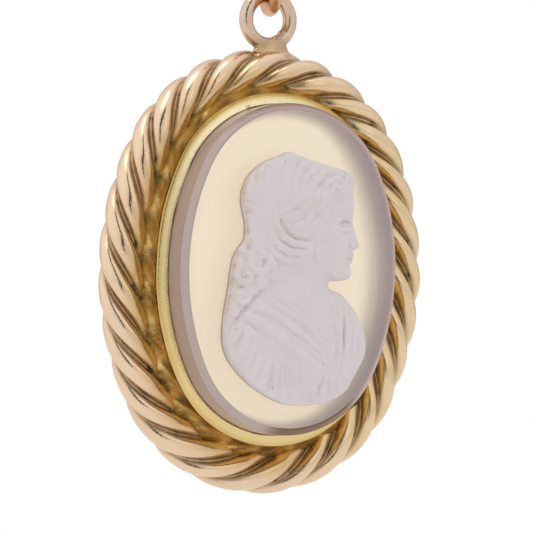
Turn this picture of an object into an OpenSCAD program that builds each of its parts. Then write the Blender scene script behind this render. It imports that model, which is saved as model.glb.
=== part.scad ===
// Cameo pendant: an oval hardstone cameo in a plain rub-over setting with a twisted rope border,
// hanging from a jump ring by a soldered loop. Millimetres, +Z up, face towards -Y. The origin is
// the inner top of the jump ring, where a chain passes.

/* [Stone] */
// Length of the stone above the setting's rim, top to bottom
stone_len = 25; // [22:0.5:30]
// Width of the stone above the rim, side to side
stone_wid = 18.2; // [16:0.2:20]
// How much fuller the oval is than its flattest form
oval_fullness = 0.28; // [0.2:0.02:0.5]
// Thickness of the stone from its back to its flat face
stone_thick = 5.9; // [5:0.1:7]
// Bevel round the edge of the flat face
stone_bevel = 0.42; // [0.2:0.02:0.8]
// How far the stone's hidden foot stands out under the rim
stone_foot = 0.3; // [0.2:0.05:0.5]
// Gap between the stone and the metal round it
stone_gap = 0.05; // [0.03:0.01:0.1]

/* [Setting] */
// Width of the flat rim as seen from the front
rim_w = 0.84; // [0.7:0.02:1.2]
// Depth of the rim's lip, which lies over the stone's foot
lip_depth = 0.8; // [0.5:0.05:1.2]
// How far the rim stands in front of the middle of the rope
rim_front = 2.55; // [2:0.05:3]
// How far the setting reaches behind the middle of the rope
setting_back = 1.5; // [1.2:0.05:1.8]
// Thickness of the closed back plate
back_plate = 0.5; // [0.4:0.05:0.8]

/* [Rope border] */
// Diameter of the rope over its ridges
rope_d = 3.5; // [2.8:0.1:4.2]
// Clearance between the rope's ridges and the setting's wall
rope_gap = 0.06; // [0.04:0.01:0.12]
// Depth of the grooves between the strands
groove_depth = 0.56; // [0.4:0.02:0.7]
// Number of strands twisted together
strands = 4; // [3:1:6]
// Number of ridges along the outside of the rope
ridges = 27; // [22:1:34]
// Turn of the strands at the top of the rope
rope_turn = -37; // [-90:1:90]
// Height of the solder seam that joins the rope to the setting
seam_h = 1.2; // [0.9:0.3:1.5]

/* [Hanging loop] */
// Thickness of the loop's wire
loop_wire = 1.08; // [0.8:0.02:1.4]
// Inside diameter of the loop
loop_bore = 2.65; // [2.4:0.05:3.4]
// How far the loop sinks into the crest of the rope
loop_sink = 0.3; // [0.2:0.05:0.5]
// Diameter of the solder pad under the loop
pad_d = 2.9; // [2.4:0.1:3.2]

/* [Jump ring] */
// Thickness of the jump ring's wire
ring_wire = 0.98; // [0.7:0.02:1.2]
// Inside diameter of the jump ring
ring_bore = 4.2; // [3.6:0.1:6]
// Turn of the jump ring about the vertical
ring_turn = -15; // [-30:1:30]
// Gap between the jump ring and the loop that hangs on it
hang_gap = 0.08; // [0.05:0.01:0.15]

/* [Bust] */
// Height of the bust from its lower edge to the crown
bust_h = 18.9; // [16:0.1:20]
// Width of the bust from the back of the shoulder to the chest
bust_w = 12.4; // [11:0.1:13]
// Height of the bust's lower edge below the middle of the stone
bust_drop = 10.25; // [9:0.05:10.5]
// How far the back of the shoulder lies left of the middle
bust_left = 5.9; // [5:0.05:6.2]
// Height of the relief's steep edge above the stone's face
relief_edge = 0.6; // [0.4:0.05:0.8]
// Further rise of the relief towards its middle
relief_crown = 0.55; // [0.3:0.05:0.8]

/* [Hidden] */
$fn = 96;
bite = 0.1;

// Semi-lengths of the parallel ovals, each named for what it bounds
stone_a = stone_len / 2;
foot_a = stone_a + stone_foot;
face_a = stone_a - stone_bevel;
lip_a = stone_a + stone_gap;
cavity_a = foot_a + stone_gap;
wall_a = lip_a + rim_w;
rope_a = wall_a + rope_gap + rope_d / 2;
seam_a = wall_a + rope_gap + groove_depth + bite;

// All the ovals share four arc centres: two on the long axis and two on the short one
oval_diff = (stone_len - stone_wid) / 2;
end_c = oval_diff * (1 + oval_fullness);
side_c = oval_diff * (1 + 2 * oval_fullness) / (2 * oval_fullness);
arc_turn = atan2(end_c, side_c);
function end_r(a) = a - end_c;
function side_r(a) = a - oval_diff + side_c;

// Depths along the face's normal, from the middle of the rope
floor_z = back_plate - setting_back;
stone_back = floor_z + stone_gap;
foot_top = rim_front - lip_depth - stone_gap;
face_z = stone_back + stone_thick;

// Heights of the hanging parts, down from the origin
ring_mid_r = (ring_bore + ring_wire) / 2;
ring_mid_z = -ring_bore / 2;
hinge_z = ring_mid_z - ring_mid_r;
loop_mid_z = hinge_z + ring_wire / 2 + hang_gap - loop_bore / 2;
loop_mid_r = (loop_bore + loop_wire) / 2;
rope_crest = rope_a + rope_d / 2;
pendant_z = loop_mid_z - loop_mid_r - loop_wire / 2 + loop_sink - rope_crest;

metal = [0.80, 0.66, 0.47];
red_metal = [0.76, 0.50, 0.34];
stone_colour = [0.86, 0.80, 0.74];

// Stands children that are drawn in the XY plane up in the face's plane, at the pendant's height
module in_face() {
    translate([0, 0, pendant_z]) rotate([90, 0, 0]) children();
}

// One side of an oval, between the two lines through the arc centres and just over the middle
module side_sector(h) {
    near = side_c - bite;
    far = side_r(2 * rope_a);
    linear_extrude(h)
        polygon([[near, -near * tan(arc_turn)], [far, -far * tan(arc_turn)],
                 [far, far * tan(arc_turn)], [near, near * tan(arc_turn)]]);
}

// Solid four-arc oval from z up, with semi-length a0 at its foot and a1 at its top
module oval(a0, a1, z, h) {
    translate([0, 0, z]) {
        for (s = [-1, 1])
            translate([0, s * end_c, 0]) cylinder(h = h, r1 = end_r(a0), r2 = end_r(a1));
        for (s = [0, 180])
            rotate([0, 0, s]) translate([-side_c, 0, 0]) intersection() {
                cylinder(h = h, r1 = side_r(a0), r2 = side_r(a1), $fn = 4 * $fn);
                side_sector(h);
            }
    }
}

// The rope: rings of points round the oval, turned a little further at each ring

// Depth of the rope's section at six places across each strand, groove first: the place as a share
// of the strand's width, and the depth as a share of the groove's
STRAND_SHAPE = [[0, 1], [0.12, 0.5], [0.3, 0.1], [0.5, 0], [0.7, 0.1], [0.88, 0.5]];
// Broad and narrow strands take turns
STRAND_SHARE = [1.12, 0.88];
per_strand = len(STRAND_SHAPE);
ring_points = strands * per_strand;
rings_per_ridge = 5;
rings = ridges * rings_per_ridge;

function side_arc(a) = side_r(a) * 2 * arc_turn * PI / 180;
function end_arc(a) = end_r(a) * (180 - 2 * arc_turn) * PI / 180;
function oval_round(a) = 2 * (side_arc(a) + end_arc(a));

// Direction of the outward normal after the length s along the oval of semi-length a, from the top
function normal_at(a, s) =
    let (half_end = end_arc(a) / 2, side = side_arc(a))
    s < half_end ? 90 - s / end_r(a) * 180 / PI :
    s < half_end + side ? arc_turn - (s - half_end) / side_r(a) * 180 / PI :
    s < 3 * half_end + side ? -arc_turn - (s - half_end - side) / end_r(a) * 180 / PI :
    s < 3 * half_end + 2 * side ? arc_turn - 180 - (s - 3 * half_end - side) / side_r(a) * 180 / PI :
    -180 - arc_turn - (s - 3 * half_end - 2 * side) / end_r(a) * 180 / PI;

// Centre of the arc that the normal t belongs to, and its radius in the oval of semi-length a
function on_side(t) = abs(cos(t)) > cos(arc_turn);
function arc_centre(t) = on_side(t) ? [-sign(cos(t)) * side_c, 0] : [0, sign(sin(t)) * end_c];
function arc_radius(a, t) = on_side(t) ? side_r(a) : end_r(a);

function strand_width(i) = STRAND_SHARE[i % 2] * 360 / strands;
function strand_start(i) = i == 0 ? 0 : strand_start(i - 1) + strand_width(i - 1);
function rope_point(i, j) =
    let (s = (i + 0.5) * oval_round(rope_a) / rings,
         t = normal_at(rope_a, s),
         strand = floor(j / per_strand),
         shape = STRAND_SHAPE[j % per_strand],
         turn = strand_start(strand) + shape[0] * strand_width(strand),
         spin = turn + rope_turn - (i + 0.5) * 360 / (strands * rings_per_ridge),
         r = rope_d / 2 - shape[1] * groove_depth,
         out = arc_radius(rope_a, t) + r * cos(spin))
    [each arc_centre(t) + out * [cos(t), sin(t)], r * sin(spin)];

module rope() {
    shift = (ridges % strands) * per_strand;
    polyhedron(
        points = [for (i = [0 : rings - 1], j = [0 : ring_points - 1]) rope_point(i, j)],
        faces = [for (i = [0 : rings - 1], j = [0 : ring_points - 1])
            let (last = i == rings - 1,
                 next = last ? 0 : i + 1,
                 jump = last ? ring_points - shift : 0,
                 a = i * ring_points + j,
                 b = i * ring_points + (j + 1) % ring_points,
                 c = next * ring_points + (j + jump) % ring_points,
                 d = next * ring_points + (j + 1 + jump) % ring_points)
            each [[a, d, b], [a, c, d]]]);
}

module setting() {
    difference() {
        oval(wall_a, wall_a, -setting_back, setting_back + rim_front);
        oval(cavity_a, cavity_a, floor_z, rim_front - lip_depth - floor_z);
        oval(lip_a, lip_a, floor_z, rim_front - floor_z + bite);
    }
}

// Solder in the valley between the setting and the rope
module seam() {
    difference() {
        oval(seam_a, seam_a, -seam_h / 2, seam_h);
        oval(wall_a - bite, wall_a - bite, -seam_h / 2 - bite, seam_h + 2 * bite);
    }
}

module hanging_loop() {
    translate([0, 0, loop_mid_z]) rotate([90, 0, 0])
        rotate_extrude() translate([loop_mid_r, 0]) circle(d = loop_wire);
}

module solder_pad() {
    pad_foot = pendant_z + rope_crest - groove_depth - loop_sink;
    pad_top = loop_mid_z - loop_mid_r;
    translate([0, 0, pad_foot]) cylinder(h = pad_top - pad_foot, d1 = pad_d, d2 = loop_wire);
}

module gold_frame() {
    color(metal) {
        in_face() {
            setting();
            seam();
            rope();
        }
        hanging_loop();
        solder_pad();
    }
}

module plaque() {
    oval(foot_a, foot_a, stone_back, foot_top - stone_back);
    oval(stone_a, stone_a, stone_back, face_z - stone_bevel - stone_back);
    oval(stone_a, face_a, face_z - stone_bevel, stone_bevel);
}

// The bust: rows from the lower edge to the crown. Each row has its height, its back edge and its
// front edge, as shares of the bust's height and width. The face is a plain classical one.
BUST_ROWS = [
    [0.000, 0.46, 0.58], [0.012, 0.40, 0.70], [0.030, 0.34, 0.79], [0.055, 0.27, 0.86],
    [0.085, 0.20, 0.90], [0.120, 0.14, 0.93], [0.160, 0.08, 0.96], [0.200, 0.04, 0.99],
    [0.240, 0.01, 1.00], [0.285, 0.00, 0.99], [0.340, 0.01, 0.95], [0.385, 0.02, 0.90],
    [0.425, 0.03, 0.85], [0.452, 0.04, 0.80], [0.468, 0.04, 0.73], [0.486, 0.04, 0.73],
    [0.500, 0.04, 0.84], [0.512, 0.05, 0.88], [0.530, 0.05, 0.89], [0.548, 0.05, 0.88],
    [0.560, 0.05, 0.90], [0.575, 0.06, 0.89], [0.590, 0.07, 0.91], [0.610, 0.08, 0.90],
    [0.622, 0.10, 0.95], [0.645, 0.13, 0.94], [0.690, 0.14, 0.90], [0.718, 0.14, 0.88],
    [0.740, 0.13, 0.89], [0.790, 0.11, 0.89], [0.850, 0.11, 0.88], [0.885, 0.12, 0.88],
    [0.915, 0.16, 0.85], [0.940, 0.19, 0.77], [0.958, 0.23, 0.66], [0.978, 0.31, 0.57],
    [1.000, 0.42, 0.46]];

// Ridges and hollows of the carving: both ends of each as shares of the width and height, its
// half-width as a share of the width, and its rise as a share of the crown. Hollows rise below 0.
CARVING = [
    // the rolled hair round the brow, the crown and the nape
    [0.80, 0.88, 0.66, 0.80, 0.060, 0.60], [0.66, 0.80, 0.58, 0.70, 0.055, 0.60],
    [0.58, 0.70, 0.44, 0.64, 0.055, 0.60], [0.44, 0.64, 0.28, 0.66, 0.055, 0.55],
    [0.70, 0.92, 0.50, 0.80, 0.040, 0.35], [0.50, 0.95, 0.38, 0.78, 0.045, 0.35],
    [0.34, 0.91, 0.27, 0.76, 0.045, 0.35], [0.20, 0.85, 0.18, 0.74, 0.040, 0.30],
    [0.60, 0.90, 0.46, 0.74, 0.018, -0.40], [0.42, 0.92, 0.33, 0.74, 0.018, -0.40],
    [0.26, 0.88, 0.23, 0.74, 0.018, -0.40],
    // the locks that fall behind the shoulder
    [0.20, 0.62, 0.10, 0.48, 0.035, 0.45], [0.10, 0.48, 0.09, 0.36, 0.035, 0.45],
    [0.28, 0.60, 0.20, 0.50, 0.030, 0.40], [0.20, 0.50, 0.13, 0.40, 0.030, 0.40],
    [0.15, 0.58, 0.08, 0.40, 0.015, -0.40],
    // the eye, the cheek, the mouth and the jaw
    [0.80, 0.715, 0.84, 0.712, 0.020, -0.35], [0.78, 0.742, 0.85, 0.738, 0.014, 0.25],
    [0.76, 0.640, 0.78, 0.600, 0.060, 0.20], [0.83, 0.575, 0.89, 0.575, 0.010, -0.30],
    [0.62, 0.560, 0.80, 0.512, 0.040, 0.20], [0.56, 0.530, 0.72, 0.490, 0.020, -0.45],
    // the neck and the folds of the drapery
    [0.56, 0.55, 0.60, 0.42, 0.080, 0.15], [0.36, 0.50, 0.66, 0.30, 0.016, -0.45],
    [0.14, 0.36, 0.42, 0.27, 0.030, 0.40], [0.42, 0.27, 0.78, 0.22, 0.035, 0.45],
    [0.14, 0.30, 0.36, 0.18, 0.028, 0.35], [0.36, 0.18, 0.52, 0.04, 0.028, 0.35],
    [0.10, 0.25, 0.24, 0.12, 0.025, 0.35], [0.24, 0.12, 0.40, 0.04, 0.025, 0.30],
    [0.52, 0.22, 0.60, 0.05, 0.026, 0.35], [0.68, 0.21, 0.70, 0.04, 0.026, 0.35],
    [0.82, 0.42, 0.80, 0.22, 0.026, 0.35], [0.90, 0.36, 0.86, 0.20, 0.022, 0.30],
    [0.30, 0.24, 0.44, 0.08, 0.014, -0.40], [0.56, 0.20, 0.66, 0.06, 0.014, -0.40],
    [0.74, 0.20, 0.76, 0.08, 0.014, -0.35], [0.86, 0.34, 0.82, 0.22, 0.012, -0.35],
    // the round clasp of the drapery
    [0.84, 0.10, 0.86, 0.09, 0.045, 0.60]];

rows_drawn = 66;
columns = 30;

// Value of column c of the rows table at the height v, between its two nearest rows
function row_at(v, c, k = 1) =
    k == len(BUST_ROWS) - 1 || BUST_ROWS[k][0] >= v ?
        let (p = BUST_ROWS[k - 1], q = BUST_ROWS[k], f = (v - p[0]) / (q[0] - p[0]))
        p[c] + (q[c] - p[c]) * f
    : row_at(v, c, k + 1);

// Distance from the point p to the segment from a to b
function off_line(p, a, b) =
    let (ab = b - a, f = max(0, min(1, (p - a) * ab / (ab * ab)))) norm(p - a - f * ab);

function carved(p) = [for (c = CARVING)
    let (a = [c[0] * bust_w, c[1] * bust_h], b = [c[2] * bust_w, c[3] * bust_h],
         d = off_line(p, a, b) / (c[4] * bust_w))
    d < 2.5 ? c[5] * exp(-d * d) : 0];
function total(v, i = 0) = i == len(v) ? 0 : v[i] + total(v, i + 1);

// Columns crowd towards both edges, where the relief is steepest
function column_share(j) = (1 - cos(180 * j / columns)) / 2;
function bust_point(i, j) =
    let (v = i / rows_drawn,
         back = row_at(v, 1),
         front = row_at(v, 2),
         f = column_share(j),
         p = [(back + (front - back) * f) * bust_w, v * bust_h],
         inner = j == 0 || j == columns || i == 0 || i == rows_drawn ? 0 : 1,
         swell = pow(4 * f * (1 - f), 0.4) * pow(min(1, 4 * v * (1 - v)), 0.3),
         rise = relief_edge + inner * relief_crown * (swell + total(carved(p))))
    [p[0] - bust_left, p[1] - bust_drop, rise];

module bust() {
    per_row = columns + 1;
    front = [for (i = [0 : rows_drawn], j = [0 : columns]) bust_point(i, j)];
    // Two points under each row, at its back edge and its front edge
    under = [for (i = [0 : rows_drawn], j = [0, columns])
        let (p = front[i * per_row + j]) [p[0], p[1], -bite]];
    first = len(front);
    last = rows_drawn * per_row;
    translate([0, 0, face_z]) polyhedron(
        points = concat(front, under),
        faces = concat(
            [for (i = [0 : rows_drawn - 1], j = [0 : columns - 1])
                let (a = i * per_row + j, b = a + 1, c = a + per_row, d = c + 1)
                each [[a, c, d], [a, d, b]]],
            [for (i = [0 : rows_drawn - 1])
                let (back = i * per_row, chest = back + columns, u = first + 2 * i)
                each [[u, u + 1, u + 3, u + 2],
                      [u, u + 2, back + per_row, back],
                      [u + 3, u + 1, chest, chest + per_row]]],
            [[first, for (j = [0 : columns]) j, first + 1],
             [len(front) + len(under) - 1, for (j = [0 : columns]) last + columns - j,
              len(front) + len(under) - 2]]));
}

module cameo_stone() {
    color(stone_colour) in_face() {
        plaque();
        bust();
    }
}

module jump_ring() {
    color(red_metal)
        translate([0, 0, ring_mid_z]) rotate([0, 0, ring_turn]) rotate([0, 90, 0])
            rotate_extrude() translate([ring_mid_r, 0]) circle(d = ring_wire);
}

jump_ring();
gold_frame();
cameo_stone();
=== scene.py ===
"""Finishes, fine forms and studio for the cameo pendant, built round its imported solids."""

import math

import bmesh
import bpy
import numpy as np
from mathutils import Matrix, Vector


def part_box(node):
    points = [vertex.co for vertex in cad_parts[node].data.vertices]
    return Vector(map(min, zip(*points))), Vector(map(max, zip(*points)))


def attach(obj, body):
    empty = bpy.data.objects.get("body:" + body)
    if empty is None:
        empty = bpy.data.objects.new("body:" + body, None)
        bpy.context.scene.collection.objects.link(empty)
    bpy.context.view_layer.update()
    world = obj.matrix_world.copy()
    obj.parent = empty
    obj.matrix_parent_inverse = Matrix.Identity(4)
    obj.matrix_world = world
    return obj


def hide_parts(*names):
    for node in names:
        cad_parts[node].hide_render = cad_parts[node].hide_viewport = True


bl_info = {
    "name": "Cameo Pendant",
    "version": (1, 0, 0),
    "blender": (4, 5, 0),
    "location": "View3D > Sidebar > Cameo",
    "description": "Builds a cameo pendant with a rope border, its finishes and its studio",
    "category": "Add Mesh",
}

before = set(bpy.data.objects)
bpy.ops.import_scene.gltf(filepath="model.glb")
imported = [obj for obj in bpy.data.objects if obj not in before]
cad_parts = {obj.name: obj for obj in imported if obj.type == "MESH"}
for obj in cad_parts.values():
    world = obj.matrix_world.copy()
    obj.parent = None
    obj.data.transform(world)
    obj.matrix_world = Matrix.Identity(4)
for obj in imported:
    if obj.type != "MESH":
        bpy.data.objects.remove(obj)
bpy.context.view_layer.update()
STONE_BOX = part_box("cameo_stone")

MM = 0.001
WHITE = (1.0, 1.0, 1.0)
# how deep the foot of the bust is sunk in the stone's face, in millimetres
SUNK = 0.08
PENDANT_Z = (STONE_BOX[0].z + STONE_BOX[1].z) / 2
# body and material slot of the pieces that stand for each solid
PLACES = {
    "gold_frame": ("pendant", "frame_gold"),
    "jump_ring": ("ring", "ring_gold"),
    "cameo_stone": ("pendant", "carved_stone"),
}


def length(name, text, size_mm, low=0.0, high=50.0):
    """A size that is given in millimetres and kept in metres."""
    return bpy.props.FloatProperty(
        name=name, description=text, default=size_mm * MM, min=low * MM, max=high * MM,
        unit="LENGTH", precision=5)


def share(name, text, value):
    return bpy.props.FloatProperty(
        name=name, description=text, default=value, min=0.0, max=1.0, subtype="FACTOR")


def angle(name, text, degrees):
    return bpy.props.FloatProperty(
        name=name, description=text, default=math.radians(degrees), subtype="ANGLE")


def colour(name, text, value):
    return bpy.props.FloatVectorProperty(
        name=name, description=text, default=value, size=3, min=0.0, max=1.0, subtype="COLOR")


class StoneSizes(bpy.types.PropertyGroup):
    """Sizes and colours of the stone"""
    long_half: length("Half length", "Half the stone's length above the rim", 12.5)
    short_cut: length("Oval difference", "Half length less half width", 3.4)
    fullness: share("Fullness", "How much fuller the oval is than its flattest form", 0.28)
    foot: length("Foot", "How far the hidden foot stands out under the rim", 0.3)
    bevel: length("Bevel", "Bevel round the flat face", 0.42)
    back: length("Back", "Depth of the stone's back, behind the rope's middle", 0.95)
    face: length("Face", "Height of the flat face before the rope's middle", 4.95)
    foot_top: length("Foot top", "Height of the foot before the rope's middle", 1.7)
    clear: length("Clear depth", "How deep the clear layer looks", 1.7)
    bowl_width: length("Bowl width", "Width of the soft shade round the clear layer", 1.5)
    cream: colour("Cream", "Colour of the stone over its gold backing", (0.32, 0.27, 0.205))
    # painted glow: the clear layer gives off light of its own, though it is no lamp, which fills the shade
    # under the bust
    glow: colour("Glow", "Light that the clear layer gives back", (0.615, 0.527, 0.392))
    inner_mauve: colour("Inner mauve", "Colour of the shade round the clear layer", (0.14, 0.10, 0.135))
    inner_painted_glow: colour("Inner glow", "Light that the shade gives back", (0.05, 0.035, 0.052))
    mauve: colour("Mauve", "Colour of the milky sides", (0.405, 0.288, 0.256))
    # painted light: the lighter mauve of the bevel's lit side
    lit_side_mauve: colour("Light mauve", "Colour of the bevel", (0.44, 0.345, 0.305))
    # painted shade and reflection of the shadowed rim, with some grime, round the stone's edge
    dirt_and_shade: colour("Dirt", "Colour of the dirt at the stone's foot", (0.16, 0.075, 0.03))
    shine: share("Shine", "How much the clear face reflects", 0.04)


class BustSizes(bpy.types.PropertyGroup):
    """Sizes and colours of the carved bust"""
    edge: length("Edge", "Height of the steep edge of the relief", 0.62)
    crown: length("Crown", "Further rise towards the middle", 0.42)
    step: length("Step", "Spacing of the points of the carving", 0.055, 0.02, 0.3)
    lilac: colour("Lilac", "Colour of the pale carved layer", (0.69, 0.615, 0.63))
    warm_lilac: colour("Warm lilac", "Clouds in the pale layer", (0.655, 0.595, 0.59))
    # beige of the painted shade in the hollows, and the thin edge's own colour
    beige_shade_and_wear: colour("Beige", "Colour of the hollows and of the thin edge", (0.56, 0.46, 0.35))
    # painted shade at the relief's foot
    foot_shade_line: colour("Edge line", "Colour of the line at the relief's foot", (0.40, 0.315, 0.235))
    pit: colour("Pits", "Colour of the small pits", (0.30, 0.22, 0.16))


class MetalSizes(bpy.types.PropertyGroup):
    """Sizes and colours of the gold"""
    lip: length("Lip", "Half length of the opening in the rim", 12.50)
    cavity: length("Seat", "Half length of the stone's seat", 12.85)
    wall: length("Wall", "Half length of the setting's outer wall", 13.39)
    rim_front: length("Rim front", "Height of the rim before the rope's middle", 2.55)
    rim_slope: length("Rim slope", "Fall of the rim to its outer edge", 0.20)
    lip_under: length("Lip underside", "Height of the lip's underside", 1.75)
    floor: length("Floor", "Depth of the seat's floor behind the rope's middle", 1.0)
    back: length("Back", "Depth of the back plate behind the rope's middle", 1.5)
    rope_half: length("Rope line", "Half length of the rope's middle line", 15.2)
    rope_r: length("Rope radius", "Radius of the rope over its ridges", 1.75)
    groove: length("Groove", "Depth of the grooves between the strands", 0.56)
    strip_share: share("Groove strip", "Width of the low strip in each groove, of a strand", 0.14)
    strands: bpy.props.IntProperty(
        name="Strands", description="Strands twisted together", default=4, min=3, max=6)
    ridges: bpy.props.IntProperty(
        name="Ridges", description="Ridges along the outside", default=27, min=12, max=40)
    rope_turn: angle("Turn", "Turn of the strands at the top", -28)
    twist_drift: angle("Twist drift", "How far the hand twist runs ahead on the right side", 13)
    loop_z: length("Loop height", "Depth of the loop's middle below the origin", 5.445)
    loop_r: length("Loop radius", "Radius of the loop's wire line", 1.865)
    loop_wire: length("Loop wire", "Thickness of the loop's wire", 1.08)
    loop_shift: length("Loop shift", "How far the loop stands to one side", 0.17)
    ring_r: length("Ring radius", "Radius of the jump ring's wire line", 2.59)
    ring_z: length("Ring height", "Depth of the ring's middle below the origin", 2.1)
    ring_wire: length("Ring wire", "Thickness of the jump ring's wire", 0.98)
    ring_turn: angle("Ring turn", "Turn of the jump ring about the vertical", -15)
    rose_gold: colour("Rose gold", "Colour of the rope", (0.76, 0.565, 0.385))
    yellow_gold: colour("Yellow gold", "Colour of the rim", (0.73, 0.57, 0.265))
    solder: colour("Solder", "Colour of the solder by the rope", (0.80, 0.60, 0.26))
    loop_gold: colour("Loop gold", "Colour of the hanging loop", (0.665, 0.51, 0.40))
    red_gold: colour("Red gold", "Colour of the jump ring", (0.68, 0.38, 0.19))
    # tarnish colour, also used for painted shade in gaps and dips
    tarnish_and_shade: colour("Tarnish", "Colour of the tarnish in the grooves", (0.25, 0.15, 0.055))


class StageSettings(bpy.types.PropertyGroup):
    """The studio round the pendant"""
    floor_z: length("Floor", "Height of the floor", -75, -500, 0)
    distance: length("Distance", "Camera to pendant", 316, 100, 2000)
    turn: angle("Turn", "Camera's place round the pendant, from its front", -27)
    lift: angle("Lift", "Camera's height as an angle", -1.7)
    roll: angle("Roll", "Turn of the picture", 1.833465)
    lens: bpy.props.FloatProperty(name="Lens", description="Focal length in mm", default=280.45)
    aside: length("Aside", "Camera's shift to the right", 0.342466)
    above: length("Above", "Camera's shift upwards", 0.254947)
    floor_r: length("Floor radius", "Radius of the round floor", 600, 0, 2000)
    floor_colour: colour("Floor colour", "Colour of the floor", (0.95, 0.95, 0.95))
    back_tint: colour("Back tint", "Tint of the light from behind", (0.93, 0.86, 0.90))
    lamp_size: length("Lamp size", "Width of the round lamp", 360, 0, 2000)
    lamp_power: bpy.props.FloatProperty(
        name="Lamp power", description="Power of the lamp in watts", default=0.42)
    lamp_place: bpy.props.FloatVectorProperty(
        name="Lamp place", description="Where the lamp hangs", default=(-0.14, -0.10, 0.50), size=3,
        subtype="TRANSLATION", unit="LENGTH")


class Wire:
    """A shader socket that takes part in sums as a number."""

    def __init__(self, finish, socket):
        self.finish = finish
        self.socket = socket

    def _sum(self, operation, first, second):
        return self.finish.node("ShaderNodeMath", {"operation": operation}, {0: first, 1: second})

    def __add__(self, other):
        return self._sum("ADD", self, other)

    __radd__ = __add__

    def __sub__(self, other):
        return self._sum("SUBTRACT", self, other)

    def __rsub__(self, other):
        return self._sum("SUBTRACT", other, self)

    def __mul__(self, other):
        return self._sum("MULTIPLY", self, other)

    __rmul__ = __mul__


class Finish:
    """A material, or the world, whose nodes are made one call at a time."""

    def __init__(self, owner):
        owner.use_nodes = True
        self.owner = owner
        self.tree = owner.node_tree
        self.tree.nodes.clear()

    def node(self, kind, settings=None, values=None, out=0):
        made = self.tree.nodes.new(kind)
        for name, value in (settings or {}).items():
            setattr(made, name, value)
        for key, value in (values or {}).items():
            socket = made.inputs[key]
            if isinstance(value, Wire):
                self.tree.links.new(value.socket, socket)
            elif socket.type == "RGBA" and len(value) == 3:
                socket.default_value = (*value, 1.0)
            else:
                socket.default_value = value
        return Wire(self, made.outputs[out]) if made.outputs else made

    def mix(self, first, second, amount):
        return self.node("ShaderNodeMix", {"data_type": "RGBA", "clamp_factor": True},
                         {0: amount, 6: first, 7: second}, out=2)

    def clamp(self, value, low=0.0, high=1.0):
        return self.node("ShaderNodeClamp", None, {"Value": value, "Min": low, "Max": high})

    def ease(self, value, start, end):
        return self.node("ShaderNodeMapRange", {"interpolation_type": "SMOOTHSTEP"},
                         {"Value": value, "From Min": start, "From Max": end})

    def along(self, where, direction):
        """How far a direction agrees with another one, from -1 to 1."""
        return self.node("ShaderNodeVectorMath", {"operation": "DOT_PRODUCT"},
                         {0: where, 1: tuple(direction)}, out="Value")

    def mask(self, name):
        return self.node("ShaderNodeAttribute", {"attribute_name": name}, out="Fac")

    def grain(self, scale_mm, detail=3.0, stretch=(1.0, 1.0, 1.0)):
        """Noise from 0 to 1 whose lumps are about scale_mm wide."""
        where = self.node("ShaderNodeTexCoord", out="Object")
        where = self.node("ShaderNodeVectorMath", {"operation": "MULTIPLY"}, {0: where, 1: stretch})
        return self.node("ShaderNodeTexNoise", None,
                         {"Vector": where, "Scale": 1000.0 / scale_mm, "Detail": detail}, out="Fac")

    def bump(self, height, depth_mm):
        return self.node("ShaderNodeBump", None, {"Distance": depth_mm * MM, "Height": height})

    def plain(self, **values):
        """Ends the material with one plain shader."""
        named = {name.replace("_", " "): value for name, value in values.items()}
        return self.surface(self.node("ShaderNodeBsdfPrincipled", None, named))

    def surface(self, shader):
        self.node("ShaderNodeOutputMaterial", None, {"Surface": shader})
        return self.owner


def new_finish(name):
    return Finish(bpy.data.materials.new(name))


def tinted(base, factors):
    return tuple(c * k for c, k in zip(base, factors))


def gold_finish(name, base, tarnish_and_shade, roughness=0.12, worn=0.12, grain=0.014):
    """Old polished gold: paler where it is rubbed and at painted highlights, golden with painted shade and
    reflection in its dips, then brown where grime and painted shade gather.
    """
    fin = new_finish(name)
    cloud = fin.grain(2.5, 4.0)
    patch = fin.grain(0.8, 4.0)
    fine = fin.grain(0.14, 3.0)
    scratches = fin.grain(0.08, 2.0, (1.0, 1.0, 0.25))
    valley = fin.mask("valley")
    yellow = fin.mask("yellow")
    pale = tuple(c + (limit - c) * 0.45 for c, limit in zip(base, (0.93, 0.93, 0.76)))
    # painted reflection: straw tint down the rope's right side
    tone = fin.mix(base, tinted(base, (0.96, 1.0, 0.90)), fin.mask("painted_straw"))
    # painted shade and gold-on-gold reflection: darker, more saturated gold in the dips, with random
    # clouds and yellow solder
    tone = fin.mix(tone, tinted(base, (0.78, 0.67, 0.38)),
                   fin.clamp(valley + yellow + (cloud - 0.5) * 0.6))
    # paler on rubbed ridges, and at painted highlights
    tone = fin.mix(tone, pale, fin.clamp(fin.mask("crest") * worn - valley))
    # tarnish and grime in the hollows, with painted shade in the gaps and the deepest dips
    dirt_and_shade = fin.mask("hollow") * (0.30 + patch * 0.7) + fin.ease(valley, 0.7, 1.0) * (patch - 0.35)
    dirt_and_shade = fin.clamp(dirt_and_shade - yellow * 0.5)
    black = fin.ease(dirt_and_shade * (0.45 + patch), 0.62, 1.05)
    tone = fin.mix(tone, tarnish_and_shade, dirt_and_shade)
    tone = fin.mix(tone, tinted(tarnish_and_shade, (0.18, 0.18, 0.18)), black)
    return fin.plain(
        Base_Color=tone,
        Metallic=1.0 - black * 0.8,
        Roughness=fin.clamp(roughness + dirt_and_shade * 0.45 + valley * 0.10 + fine * 0.05),
        Normal=fin.bump(fine * 0.5 + scratches * 0.3 + patch * 0.8, grain))


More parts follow.
